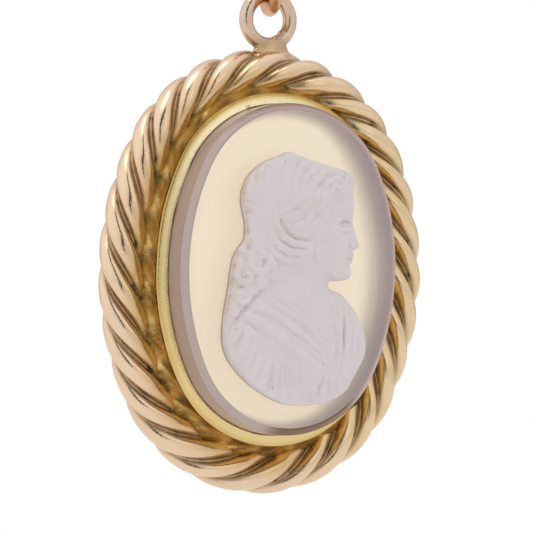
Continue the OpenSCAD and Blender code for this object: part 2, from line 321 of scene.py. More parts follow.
class Ovals:
    """Parallel ovals of four arcs, which share their centres."""

    def __init__(self, scene):
        difference = scene.cameo_stone.short_cut
        fullness = scene.cameo_stone.fullness
        self.diff = difference
        self.end_c = difference * (1 + fullness)
        self.side_c = difference * (1 + 2 * fullness) / (2 * fullness)
        self.turn = math.atan2(self.end_c, self.side_c)

    def end_r(self, half):
        return half - self.end_c

    def side_r(self, half):
        return half - self.diff + self.side_c

    def normals(self, half, stations, start=0.0):
        """Outward normals at even steps along the oval, clockwise from the top."""
        end = self.end_r(half) * (math.pi / 2 - self.turn)
        side = self.side_r(half) * 2 * self.turn
        corners = np.array([0, end, end + side, 3 * end + side, 3 * end + 2 * side,
                            4 * end + 2 * side])
        turns = np.array([math.pi / 2, self.turn, -self.turn, self.turn - math.pi,
                          -self.turn - math.pi, -1.5 * math.pi])
        travelled = (np.arange(stations) + start) * corners[-1] / stations
        return np.interp(travelled, corners, turns)

    def at(self, half, angles):
        """Points of the oval, or ovals, of this half length at these outward normals."""
        c, s = np.cos(angles), np.sin(angles)
        on_side = np.abs(c) > math.cos(self.turn)
        cx = np.where(on_side, -np.sign(c) * self.side_c, 0.0)
        cy = np.where(on_side, 0.0, np.sign(s) * self.end_c)
        r = np.where(on_side, self.side_r(half), self.end_r(half))
        return cx + r * c, cy + r * s

    def sweep(self, profile, stations, guide, side=None, up=None):
        """Rings of profile points, (half length, height), at stations along the guide oval."""
        angles = self.normals(guide, stations)
        rings = []
        for k, (half, z) in enumerate(profile):
            x, y = self.at(half if side is None else half + side[k], angles)
            rings.append(in_face(x, y, np.full(stations, z) + (0.0 if up is None else up[k])))
        return np.stack(rings, 1)


def in_face(x, y, z):
    """Points drawn on the pendant's face, stood up in the row frame."""
    return np.stack([x, -z, y + PENDANT_Z], -1)


def add_object(name, data):
    made = bpy.data.objects.new(name, data)
    bpy.context.scene.collection.objects.link(made)
    return made


def make_piece(name, points, faces, node, finish, masks=None, sharp=None):
    """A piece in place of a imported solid, with masks at its points for the finish."""
    mesh = bpy.data.meshes.new(name)
    mesh.from_pydata(np.asarray(points).reshape(-1, 3).tolist(), [], faces)
    mesh.validate()
    for mask, values in (masks or {}).items():
        layer = mesh.attributes.new(mask, "FLOAT", "POINT")
        layer.data.foreach_set("value", np.asarray(values, np.float32).ravel())
    shape = bmesh.new()
    shape.from_mesh(mesh)
    bmesh.ops.recalc_face_normals(shape, faces=shape.faces)
    shape.to_mesh(mesh)
    shape.free()
    mesh.shade_smooth()
    if sharp is not None:
        mesh.set_sharp_from_angle(angle=math.radians(sharp))
    piece = add_object(name, mesh)
    mesh.materials.append(finish)
    body, slot = PLACES[node]
    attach(piece, body)
    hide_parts(node)


def grid_faces(rows, columns, rows_meet=True, columns_meet=True, shift=0):
    """Quads of a grid of points; the last row may meet the first one, turned by shift."""
    faces = []
    for i in range(rows if rows_meet else rows - 1):
        this, after = i * columns, (i + 1) % rows * columns
        move = shift if i == rows - 1 else 0
        for j in range(columns if columns_meet else columns - 1):
            k = (j + 1) % columns
            faces.append((this + j, this + k,
                          after + (k + move) % columns, after + (j + move) % columns))
    return faces


def lathe_faces(rings, per_ring):
    """An open profile swept right round, with one flat face over each of its ends."""
    faces = grid_faces(rings, per_ring, columns_meet=False)
    faces.append(tuple(i * per_ring for i in range(rings)))
    faces.append(tuple(i * per_ring + per_ring - 1 for i in reversed(range(rings))))
    return faces


def smooth_noise(count, waves, seed):
    """A closed wavy line of this many values between about -1 and 1."""
    rng = np.random.default_rng(seed)
    angle = np.arange(count) * 2 * math.pi / count
    line = np.zeros(count)
    for k in range(1, waves + 1):
        line += rng.normal() * np.cos(k * angle + rng.uniform(0, 2 * math.pi))
    return line / math.sqrt(waves)


def ease(value, start, end):
    t = np.clip((value - start) / (end - start), 0.0, 1.0)
    return t * t * (3 - 2 * t)


def rounded(centre, radius, start, end, count):
    """Profile points round a corner, from one angle to another in degrees."""
    return [(centre[0] + radius * math.cos(math.radians(a)),
             centre[1] + radius * math.sin(math.radians(a)))
            for a in np.linspace(start, end, count)]


class CAMEO_OT_rope(bpy.types.Operator):
    """Twisted rope border, with broad and narrow strands in turn"""
    bl_idname = "cameo.rope_border"
    bl_label = "Rope border"

    def execute(self, context):
        m = context.scene.cameo_metal
        ovals = Ovals(context.scene)
        rings = m.ridges * 24
        part = (np.arange(rings) + 0.5) / rings
        angles = ovals.normals(m.rope_half, rings, 0.5)
        round_angle = part * 2 * math.pi
        unit = 2 * math.pi / m.strands
        # strands are of two widths from the top down to the foot, and even up the left side
        uneven = 0.12 * ease(part, 0.0, 0.03) * (1 - ease(part, 0.6, 0.7))
        # hand twisted: tighter over the top, and deeper cut down the right side
        twist = (part * m.ridges * unit + m.twist_drift * np.sin(round_angle)
                 - m.twist_drift / 3 * np.cos(round_angle))
        cut_depth = m.groove * (1 + 0.1 * np.sin(round_angle))
        fold = 2.6 - 0.5 * np.sin(round_angle)
        # the rope sits a little low on the setting
        settle = (0.07 * ease(-np.sin(angles), 0.2, 1.0)
                  - 0.15 * ease(np.sin(angles), -0.2, 0.9)) * MM
        # painted reflection: the tone is straw down the right side, and the painted shade is less golden
        # there and at both ends
        right = ease(np.cos(angles), 0.0, 0.8)
        plain = 1 - 0.7 * right - 0.3 * ease(np.abs(np.sin(angles)), 0.3, 1.0)
        # places across one strand: a low strip in the groove, then the broad crest
        strip = m.strip_share
        low = strip * (1 - np.cos(np.linspace(0, math.pi, 7))[:-1]) / 2
        broad = strip + (1 - strip) * (1 - np.cos(np.linspace(0, math.pi, 20))[:-1]) / 2
        across = np.concatenate([low, broad])
        per_strand = len(across)
        per_ring = m.strands * per_strand
        points = np.zeros((rings, per_ring, 3))
        masks = {name: np.zeros((rings, per_ring)) for name in ("hollow", "crest", "valley", "painted_straw")}
        # each ridge has a depth and a height of its own
        rng = np.random.default_rng(11)
        deep = rng.uniform(0.88, 1.12, m.ridges)
        lower = rng.uniform(0.0, 0.035, m.ridges) * MM
        for k in range(m.strands):
            begins = (k + (k % 2) * uneven) * unit
            width = unit * (1 + (uneven if k % 2 == 0 else -uneven))
            for j, u in enumerate(across):
                spin = begins + u * width + m.rope_turn - twist
                ridge = np.mod(k - m.strands * np.round(spin / (2 * math.pi)), m.ridges).astype(int)
                if u < strip:
                    cut = np.full(rings, 0.80 + 0.20 * abs(2 * u / strip - 1) ** 1.6)
                    away = 0.0
                else:
                    away = 1 - abs(2 * (u - strip) / (1 - strip) - 1)
                    # the ridges narrow where they dive in towards the setting
                    cut = (1 - away) ** (fold - 1.1 * ease(-np.cos(spin), 0.0, 0.9))
                r = m.rope_r - lower[ridge] * away - cut_depth * deep[ridge] * cut
                x, y = ovals.at(m.rope_half + settle + r * np.cos(spin), angles)
                at = k * per_strand + j
                points[:, at] = in_face(x, y, r * np.sin(spin))
                masks["hollow"][:, at] = ease(cut, 0.35, 0.95)
                masks["crest"][:, at] = ease(away, 0.3, 1.0)
                masks["valley"][:, at] = ease(-np.cos(spin), -0.7, 0.5) * plain
                masks["painted_straw"][:, at] = right
        shift = -(m.ridges % m.strands) * per_strand % per_ring
        finish = gold_finish("rose_gold_rope", m.rose_gold, m.tarnish_and_shade)
        make_piece("rope_border", points, grid_faces(rings, per_ring, shift=shift), "gold_frame",
                   finish, masks)
        return {"FINISHED"}


class CAMEO_OT_setting(bpy.types.Operator):
    """Plain setting: flat rim, wall, seat and closed back plate"""
    bl_idname = "cameo.setting"
    bl_label = "Setting"

    def execute(self, context):
        m = context.scene.cameo_metal
        ovals = Ovals(context.scene)
        r_out, r_in, r_back = 0.09 * MM, 0.08 * MM, 0.22 * MM
        profile = [(m.cavity, -m.floor), (m.cavity, m.lip_under), (m.lip, m.lip_under)]
        profile += [(m.lip, (m.lip_under + m.rim_front) / 2)]
        profile += rounded((m.lip + r_in, m.rim_front - r_in), r_in, 180, 90, 5)
        # the rim is burnished down towards its outer edge
        for f in (0.15, 0.3, 0.42, 0.54, 0.66, 0.78, 0.88):
            profile.append((m.lip + (m.wall - m.lip) * f, m.rim_front - m.rim_slope * f ** 1.6))
        profile += rounded((m.wall - r_out, m.rim_front - m.rim_slope - r_out), r_out, 60, 0, 6)
        profile += [(m.wall, z * MM) for z in (2.0, 1.4, 1.0, 0.6, 0.0, -0.6, -1.0)]
        profile += rounded((m.wall - r_back, r_back - m.back), r_back, 0, -90, 6)
        profile.append((m.wall - 2.0 * MM, -m.back))
        stations = 360
        around = ovals.normals(m.wall, stations)
        top = ease(np.sin(around), 0.0, 0.7)
        upper_left = np.cos(around - math.radians(115))
        wave = 0.02 * MM * smooth_noise(stations, 14, 3)
        lift = 0.03 * MM * smooth_noise(stations, 11, 5)
        crinkle = (0.06 * MM * smooth_noise(stations, 46, 9)
                   * (0.3 + 0.7 * ease(upper_left, 0.0, 0.8)))
        # specks of dirt by the rim's inner edge, near the top
        specks = ease(np.sin(around), 0.5, 0.9) * ease(smooth_noise(stations, 120, 31), 0.5, 1.5)
        side, up = [], []
        masks = {name: np.zeros((stations, len(profile))) for name in ("hollow", "crest", "valley")}
        for k, (half, z) in enumerate(profile):
            free = max(0.0, min(1.0, (z - 1.2 * MM) / MM))
            side.append((crinkle if half <= m.lip + 0.06 * MM else wave) * free)
            up.append(lift * free)
            out = (half - m.lip) / (m.wall - m.lip)
            on_rim = z > m.lip_under
            # towards its outer edge, beside the rope, the rim is golden with painted shade and reflection
            # and then darker, more so at the top
            if on_rim:
                masks["valley"][:, k] = (0.6 + 0.4 * top) * ease(out, 0.45 - 0.2 * top, 1.0)
                masks["hollow"][:, k] = 0.4 * top * ease(out, 0.6, 1.0)
            # painted shade and reflection of the rope on the setting's outer wall, more towards the back
            elif half >= m.wall - 0.01 * MM:
                masks["valley"][:, k] = 0.5 + 0.5 * ease(-z, -1.7 * MM, -0.9 * MM)
            if half <= m.lip + 0.03 * MM:
                masks["hollow"][:, k] = 0.6
            elif on_rim and out < 0.4:
                masks["hollow"][:, k] = 0.8 * specks * (1 - out)
            # a highlight is painted on the rim, brightest at the upper left
            if z > m.rim_front - m.rim_slope - 0.1 * MM:
                masks["crest"][:, k] = 0.9 * ease(upper_left, 0.2, 0.95)
        points = ovals.sweep(profile, stations, m.wall, side, up)
        # worn, 0.9 here, is the strength of the painted highlight on the rim
        finish = gold_finish("yellow_gold_setting", m.yellow_gold, m.tarnish_and_shade, 0.16, 0.9, 0.02)
        make_piece("setting", points, lathe_faces(stations, len(profile)), "gold_frame", finish,
                   masks, sharp=40)
        return {"FINISHED"}


class CAMEO_OT_seam(bpy.types.Operator):
    """Grainy solder in the dip between the rope and the setting"""
    bl_idname = "cameo.solder_seam"
    bl_label = "Solder seam"

    def execute(self, context):
        m = context.scene.cameo_metal
        stations = 1500
        rng = np.random.default_rng(7)
        lump = smooth_noise(stations, 110, 21) * 0.5 + smooth_noise(stations, 27, 22) * 0.5
        # millimetres out from the wall and up from the rope's middle
        front = [(-0.06, 2.22), (-0.01, 2.08), (0.05, 1.82), (0.12, 1.60), (0.21, 1.42),
                 (0.33, 1.24), (0.46, 1.10), (0.60, 0.98), (0.76, 0.86), (0.94, 0.72), (1.10, 0.58)]
        profile = front + [(0.70, 0.0)] + [(out, -z) for out, z in reversed(front)] + [(-0.08, 0.0)]
        side, up, wet = [], [], []
        drift = rng.integers(3, 9, len(profile)).cumsum()
        for k, (out, z) in enumerate(profile):
            free = MM if out > 0.0 and z != 0.0 else 0.3 * MM
            grit = rng.normal(0, 1, stations)
            grit = (np.roll(grit, 1) + 2 * grit + np.roll(grit, -1)) / 4
            swell = np.roll(lump, drift[k])
            side.append(free * (0.02 * swell + 0.008 * grit))
            up.append(free * np.sign(z) * (0.05 * swell + 0.010 * grit))
            wet.append(grit)
        shape = [(m.wall + out * MM, z * MM) for out, z in profile]
        points = Ovals(context.scene).sweep(shape, stations, m.wall, side, up)
        low = ease(np.array([out for out, z in profile]), 0.1, 0.6)
        lump = np.repeat(lump[:, None], len(profile), 1)
        masks = {
            "hollow": np.clip(0.45 - 0.5 * lump + 0.15 * np.array(wet).T, 0, 1) * (0.1 + 0.9 * low),
            "crest": np.clip(lump, 0, 1),
            "valley": np.clip(0.3 + 0.65 * low - 0.3 * lump, 0, 1),
        }
        finish = gold_finish("solder", m.solder, m.tarnish_and_shade, 0.26, 0.1, 0.03)
        make_piece("solder_seam", points, grid_faces(stations, len(shape)), "gold_frame", finish,
                   masks)
        return {"FINISHED"}


def ring_points(middle_r, wire_r, around, about, swell=0.0):
    """A wire ring in the XZ plane round the origin."""
    a = np.arange(around)[:, None] * 2 * math.pi / around
    b = np.arange(about)[None, :] * 2 * math.pi / about
    r = wire_r * (1 + np.reshape(swell, (-1, 1)))
    out = middle_r + r * np.cos(b)
    return np.stack([out * np.cos(a), r * np.sin(b) + 0 * a, out * np.sin(a)], -1)


def blob(centre, size, around=20, about=12):
    """A lump of solder, as points and faces."""
    lift = np.linspace(-math.pi / 2, math.pi / 2, about + 1)[:, None]
    a = np.arange(around)[None, :] * 2 * math.pi / around
    ball = np.stack([np.cos(lift) * np.cos(a), np.cos(lift) * np.sin(a), np.sin(lift) + 0 * a], -1)
    return np.array(centre) + np.array(size) * ball, grid_faces(about + 1, around, rows_meet=False)


def melt(parts, voxel_mm, rounds):
    """Runs closed forms in millimetres together, as solder does, into points in metres."""
    points, faces = [], []
    for part_points, part_faces in parts:
        base = len(points)
        points += np.reshape(part_points, (-1, 3)).tolist()
        faces += [tuple(base + i for i in face) for face in part_faces]
    mesh = bpy.data.meshes.new("melt")
    mesh.from_pydata(points, [], faces)
    piece = add_object("melt", mesh)
    remesh = piece.modifiers.new("melt", "REMESH")
    remesh.mode = "VOXEL"
    remesh.voxel_size = voxel_mm
    soften = piece.modifiers.new("soften", "SMOOTH")
    soften.iterations = rounds
    soften.factor = 0.5
    evaluated = piece.evaluated_get(bpy.context.evaluated_depsgraph_get())
    done = evaluated.to_mesh()
    points = np.array([v.co for v in done.vertices]) * MM
    faces = [tuple(p.vertices) for p in done.polygons]
    evaluated.to_mesh_clear()
    bpy.data.objects.remove(piece)
    return points, faces


class CAMEO_OT_loop(bpy.types.Operator):
    """Hanging loop with the solder that joins it to the rope"""
    bl_idname = "cameo.hanging_loop"
    bl_label = "Hanging loop"

    def execute(self, context):
        m = context.scene.cameo_metal
        around, about = 72, 20
        ring = ring_points(m.loop_r, m.loop_wire / 2, around, about) / MM
        ring -= np.array([m.loop_shift, 0, m.loop_z]) / MM
        low = -(m.loop_z + m.loop_r) / MM
        # pad under the loop: height over the loop's foot, radius and shift to one side
        pad = ((-1.35, 2.05, 0.2), (-1.1, 1.78, 0.2), (-0.85, 1.6, 0.2), (-0.6, 1.5, 0.18),
               (-0.35, 1.44, 0.15), (-0.1, 1.36, 0.12), (0.1, 1.15, 0.1), (0.3, 0.8, 0.05))
        sides = 24
        a = np.arange(sides) * 2 * math.pi / sides
        neck = [np.stack([r * np.cos(a) + shift, 0.45 * r * np.sin(a), np.full(sides, low + h)], -1)
                for h, r, shift in pad]
        neck_faces = grid_faces(len(pad), sides, rows_meet=False)
        neck_faces.append(tuple(reversed(range(sides))))
        neck_faces.append(tuple((len(pad) - 1) * sides + j for j in range(sides)))
        parts = [(ring, grid_faces(around, about)), (neck, neck_faces)]
        # lumps of solder: middle, from the loop's foot, and half sizes
        for (x, y, z), size in (
                ((0.62, -0.12, 0.46), (0.50, 0.46, 0.30)), ((0.95, -0.1, 0.75), (0.32, 0.42, 0.42)),
                ((-0.95, -0.2, -0.55), (0.5, 0.4, 0.35)), ((0.5, -0.35, -0.95), (1.1, 0.55, 0.4)),
                ((-0.5, -0.3, -1.05), (0.9, 0.5, 0.35)), ((1.35, -0.1, -0.9), (0.6, 0.5, 0.45))):
            parts.append(blob((x, y, low + z), size))
        points, faces = melt(parts, voxel_mm=0.06, rounds=6)
        x = points[:, 0]
        height = points[:, 2] / MM - low
        out = np.hypot(x + m.loop_shift, points[:, 2] + m.loop_z)
        # painted shade: the inside of the loop, right of its middle and low down, is darker and more
        # golden
        inner = ease(-out, -m.loop_r, -m.loop_r + 0.5 * MM) * ease(x, -0.2 * MM, 1.2 * MM)
        joint = ease(height, -0.9, -0.3) * (1 - ease(height, 0.0, 0.8))
        masks = {
            "hollow": np.clip(0.75 * joint + 0.8 * inner * (1 - ease(height, 1.0, 2.0)), 0, 1),
            "crest": ease(height, 1.0, 2.5),
            "valley": 0.15 + 0.4 * inner,
            "yellow": 0.5 * (1 - ease(height, -0.6, 0.9)),
        }
        finish = gold_finish("rose_gold_loop", m.loop_gold, m.tarnish_and_shade, 0.10, 0.15, 0.016)
        make_piece("hanging_loop", points, faces, "gold_frame", finish, masks)
        return {"FINISHED"}


class CAMEO_OT_jump_ring(bpy.types.Operator):
    """Round jump ring from which the pendant hangs"""
    bl_idname = "cameo.jump_ring"
    bl_label = "Jump ring"

    def execute(self, context):
        m = context.scene.cameo_metal
        around, about = 120, 24
        # the wire's ends meet in a fine line
        joint = np.exp(-((np.arange(around) * 2 * math.pi / around - math.radians(70)) / 0.02) ** 2)
        points = ring_points(m.ring_r, m.ring_wire / 2, around, about, -0.12 * joint)
        points = points @ np.array(Matrix.Rotation(m.ring_turn + math.pi / 2, 3, "Z")).T
        points[..., 2] -= m.ring_z
        masks = {"hollow": np.repeat(joint[:, None], about, 1) * 0.9}
        finish = gold_finish("red_gold_ring", m.red_gold, m.tarnish_and_shade, 0.22)
        make_piece("jump_ring_wire", points, grid_faces(around, about), "jump_ring", finish, masks)
        return {"FINISHED"}


class CAMEO_OT_plaque(bpy.types.Operator):
    """Clear skin and milky body of the stone, over its gold backing"""
    bl_idname = "cameo.plaque"
    bl_label = "Stone plaque"

    def execute(self, context):
        st = context.scene.cameo_stone
        ovals = Ovals(context.scene)
        stations = 360
        r = 0.05 * MM
        face_half = st.long_half - st.bevel
        wall_top = st.face - st.bevel
        shape = [(st.long_half - 2 * MM, -st.back)]
        shape += rounded((st.long_half + st.foot - 2 * r, -st.back + 2 * r), 2 * r, -90, 0, 5)
        shape += rounded((st.long_half + st.foot - r, st.foot_top - r), r, 0, 90, 4)
        foot = len(shape)
        shape += [(st.long_half, st.foot_top), (st.long_half, 2.6 * MM),
                  (st.long_half, wall_top - 3 * r), (st.long_half, wall_top - r),
                  (st.long_half - 0.3 * r, wall_top + 0.3 * r), (st.long_half - r, wall_top + r)]
        bevel = len(shape)
        shape += [(face_half + r, st.face - r), (face_half + 0.3 * r, st.face - 0.3 * r),
                  (face_half - r, st.face)]
        # the bowl shows how deep the clear layer looks, down to the gold backing
        ledge = face_half - 2.5 * r
        shape += [(ledge, st.face)]
        bowl = len(shape)
        shape += [(ledge - st.bowl_width * (1 - math.cos(t)), st.face - 0.3 * r - st.clear * math.sin(t))
                  for t in np.linspace(0, math.pi / 2, 14)]
        low_edge, floor = shape[-1]
        shape += [(low_edge - step * MM, floor) for step in (0.5, 1.0, 1.8, 2.6)]

        normal = ovals.normals(st.long_half, stations)
        masks = {name: np.zeros((stations, len(shape))) for name in ("bevel", "brown", "bowl")}
        masks["haze_and_shade"] = np.ones((stations, len(shape)))
        # painted light: the bevel is lighter on its left and lower left, the side towards the light
        masks["bevel"][:, bevel - 1:bowl + 1] = ease(-np.cos(normal - math.radians(20)), 0.1, 0.8)[:, None]
        # painted shade and reflection of the shadowed rim, with some grime, at the lower right and the top
        # of the bevel, and low on the wall
        lower_right = ease(np.cos(normal + math.radians(72)), 0.82, 0.95)[:, None]
        top = 0.8 * ease(np.sin(normal), 0.6, 0.95)[:, None]
        masks["brown"][:, bevel - 1:bowl + 1] = lower_right
        masks["brown"][:, bevel - 3:bevel] = np.maximum(lower_right, top)
        masks["brown"][:, foot - 1:foot + 2] = 0.2
        # the milky mauve and its painted shade reach further in on the right
        reach = (0.78 + 0.38 * np.cos(normal) + 0.8 * ease(np.cos(normal), 0.3, 1.0)) * MM
        for k in range(bowl, len(shape)):
            masks["haze_and_shade"][:, k] = 1 - ease(ledge - shape[k][0], -0.3 * reach, reach)
            masks["bowl"][:, k] = 1.0

        fin = new_finish("banded_stone")
        mauve = fin.mix(st.mauve, st.lit_side_mauve, fin.mask("bevel"))
        # painted shade and reflection, with some grime, in the brown band
        mauve = fin.mix(mauve, st.dirt_and_shade, fin.mask("brown"))
        # partly the stone's milky mauve, partly painted shade: darker inner mauve round the bowl's rim,
        # fading to cream inward
        milk_and_shade = fin.clamp(fin.mask("haze_and_shade") * (0.9 + fin.grain(6.0, 2.0) * 0.2))
        in_bowl = fin.mask("bowl")
        # painted glow: only the bowl gives off light, cream in its middle and dim mauve at its rim
        glow = fin.mix((0.0, 0.0, 0.0), fin.mix(st.glow, st.inner_painted_glow, milk_and_shade), in_bowl)
        finish = fin.plain(
            Base_Color=fin.mix(st.cream, fin.mix(mauve, st.inner_mauve, in_bowl), milk_and_shade),
            Roughness=0.35, Specular_IOR_Level=0.3, Coat_Weight=0.6, Coat_Roughness=0.04,
            Emission_Color=glow, Emission_Strength=1.0)
        points = ovals.sweep(shape, stations, st.long_half)
        make_piece("stone_body", points, lathe_faces(stations, len(shape)), "cameo_stone", finish,
                   masks, sharp=40)

        # thin clear face, which only adds its reflections
        film = [(face_half - 2 * r, st.face - 0.5 * r), (face_half - 2 * r, st.face - 0.1 * r)]
        fin = new_finish("clear_face")
        clear = fin.node("ShaderNodeBsdfTransparent", None, {"Color": WHITE})
        shine = fin.node("ShaderNodeBsdfAnisotropic", None, {"Color": WHITE, "Roughness": 0.03})
        shader = fin.node("ShaderNodeMixShader", None, {0: st.shine, 1: clear, 2: shine})
        points = ovals.sweep(film, stations, st.long_half)
        make_piece("clear_face", points, lathe_faces(stations, len(film)), "cameo_stone",
                   fin.surface(shader), sharp=40)
        return {"FINISHED"}


# Outline of the bust on the stone's face, in millimetres from its middle, from the crown down the
# back, round the cut and up the chest to the hair over the brow. The face is a plain classical one.
OUTLINE = [
    (0.04, 8.52), (-0.70, 8.76), (-1.45, 8.40), (-2.20, 8.16), (-2.97, 7.74), (-3.72, 7.10),
    (-4.18, 6.48), (-4.47, 5.72), (-4.54, 4.97), (-4.44, 4.38), (-4.20, 3.49), (-4.12, 2.75),
    (-4.20, 2.00), (-4.58, 1.46), (-4.96, 0.84), (-5.17, 0.09), (-5.27, -0.66), (-5.39, -1.78),
    (-5.58, -2.91), (-5.72, -4.03), (-5.76, -5.15), (-5.63, -6.03), (-5.32, -6.77),
    (-4.93, -7.35), (-4.07, -8.20), (-3.21, -8.89), (-2.35, -9.38), (-1.50, -9.80),
    (-0.64, -10.10), (-0.13, -10.20), (0.71, -10.24), (1.56, -10.18), (2.40, -10.05),
    (3.24, -9.80), (4.05, -9.42), (4.55, -9.05), (4.90, -8.55), (5.31, -7.86), (5.71, -7.16),
    (6.08, -6.40), (6.20, -5.64), (6.12, -4.88), (5.86, -4.14), (5.49, -3.47), (5.04, -2.81),
    (4.51, -2.30), (4.15, -1.90), (3.70, -1.62), (3.10, -1.45), (2.80, -1.12), (2.86, -0.86),
    (3.35, -0.78), (3.95, -0.72), (4.38, -0.60), (4.68, -0.36), (4.76, -0.05), (4.66, 0.24),
    (4.60, 0.42), (4.70, 0.58), (4.84, 0.72), (4.83, 0.86), (4.74, 0.95), (4.88, 1.06),
    (4.93, 1.20), (4.84, 1.42), (4.82, 1.60), (5.02, 1.70), (5.28, 1.80), (5.37, 1.98),
    (5.28, 2.22), (5.12, 2.60), (4.95, 3.05), (4.80, 3.50), (4.73, 3.80), (4.75, 4.15),
    (4.80, 4.60), (4.81, 5.20), (4.76, 5.75), (4.72, 6.17), (4.80, 6.62), (4.62, 7.10),
    (4.16, 7.46), (3.47, 7.69), (2.61, 7.88), (1.75, 8.05), (0.89, 8.30)]

# Locks and rolls of the hair, and after them the folds and cut lines of the dress: the half width
# at both ends and the rise, then the x and y of each point, in millimetres. A cut's rise is below 0.
HAIR = [
    # waves over the brow, back to the roll
    (0.34, 0.28, 0.17, 4.62, 6.55, 4.05, 6.15, 3.30, 6.25, 2.55, 6.05, 2.05, 5.35, 1.75, 4.40),
    (0.34, 0.30, 0.16, 4.60, 7.00, 3.90, 6.78, 3.15, 6.92, 2.30, 6.65, 1.60, 5.85, 1.20, 4.75),
    (0.28, 0.32, 0.15, 4.20, 7.35, 3.40, 7.32, 2.60, 7.45, 1.70, 7.10, 0.95, 6.25, 0.55, 5.05),
    (0.24, 0.32, 0.14, 3.10, 7.66, 2.20, 7.85, 1.25, 7.65, 0.45, 6.85, 0.00, 5.60),
    (0.26, 0.32, 0.15, 1.60, 8.05, 0.75, 8.10, -0.05, 7.45, -0.50, 6.30, -0.60, 5.20),
    (0.28, 0.30, 0.15, 1.75, 4.40, 1.45, 3.70, 0.95, 3.05, 0.35, 2.75),
    (0.30, 0.30, 0.15, 1.20, 4.75, 0.85, 4.05, 0.35, 3.45, -0.25, 3.15),
    (0.32, 0.28, 0.14, 0.55, 5.05, 0.20, 4.45, -0.35, 3.95, -0.85, 3.75),
    (0.32, 0.28, 0.13, 0.00, 5.60, -0.40, 5.00, -0.95, 4.60),
    (0.20, 0.24, 0.12, 2.60, 5.55, 2.35, 4.75, 2.05, 3.95, 1.55, 3.20, 1.00, 2.62),
    # crown and the veil that falls down the back of the head
    (0.30, 0.34, 0.15, -0.15, 8.50, -0.85, 7.60, -1.25, 6.50, -1.40, 5.30, -1.60, 4.40),
    (0.34, 0.36, 0.15, -0.85, 8.55, -1.65, 7.60, -2.05, 6.40, -2.20, 5.10, -2.45, 3.90),
    (0.36, 0.36, 0.14, -1.70, 8.20, -2.45, 7.30, -2.85, 6.20, -2.95, 5.00, -3.05, 3.80, -2.95, 2.80),
    (0.36, 0.32, 0.14, -2.65, 7.80, -3.25, 6.95, -3.55, 5.95, -3.60, 4.90, -3.62, 3.80, -3.55, 2.70),
    (0.26, 0.26, 0.12, -3.60, 7.00, -4.05, 6.10, -4.15, 5.10, -4.05, 4.10, -3.90, 3.10, -3.95, 2.20),
    # rolls round the nape
    (0.26, 0.20, 0.20, -1.60, 4.50, -2.05, 3.50, -1.55, 2.55, -0.65, 2.00, 0.30, 1.85, 1.15, 2.05),
    (0.36, 0.18, 0.20, -2.55, 3.60, -2.35, 2.45, -1.60, 1.60, -0.55, 1.22, 0.45, 1.28, 1.20, 1.62),
    (0.34, 0.14, 0.19, -3.00, 2.60, -2.60, 1.55, -1.75, 0.88, -0.75, 0.62, 0.20, 0.80, 1.05, 1.25),
    # locks that fall behind the neck to the shoulder
    (0.30, 0.22, 0.16, -3.75, 2.60, -3.45, 1.80, -2.85, 1.05, -2.30, 0.55, -1.95, -0.05, -2.05, -0.75),
    (0.26, 0.20, 0.14, -4.00, 2.30, -4.35, 1.30, -4.80, 0.40, -5.00, -0.60, -5.10, -1.70, -5.20,
     -3.00, -5.20, -4.00),
]

# Curls of the locks and of the front hair: middle, radius, start in degrees, turns, half width, rise
CURLS = [
    (-3.05, 0.45, 1.05, 100, 1.35, 0.30, 0.17), (-4.35, -0.65, 0.80, 70, 1.2, 0.26, 0.16),
    (-3.00, -1.05, 0.50, 30, -1.1, 0.22, 0.14), (-4.50, -2.15, 0.66, 60, -1.2, 0.24, 0.15),
    (-5.05, -3.35, 0.40, 90, 1.1, 0.20, 0.14), (3.95, 6.75, 0.42, 180, 1.3, 0.16, 0.14),
    (3.10, 6.55, 0.45, 160, -1.3, 0.17, 0.14), (2.30, 6.35, 0.48, 180, 1.3, 0.17, 0.14),
    (2.05, 5.35, 0.46, 120, -1.3, 0.16, 0.13), (3.30, 7.35, 0.34, 150, 1.2, 0.14, 0.12),
    (1.45, 7.15, 0.46, 180, 1.3, 0.16, 0.12), (1.75, 4.45, 0.40, 90, 1.2, 0.15, 0.13),
]

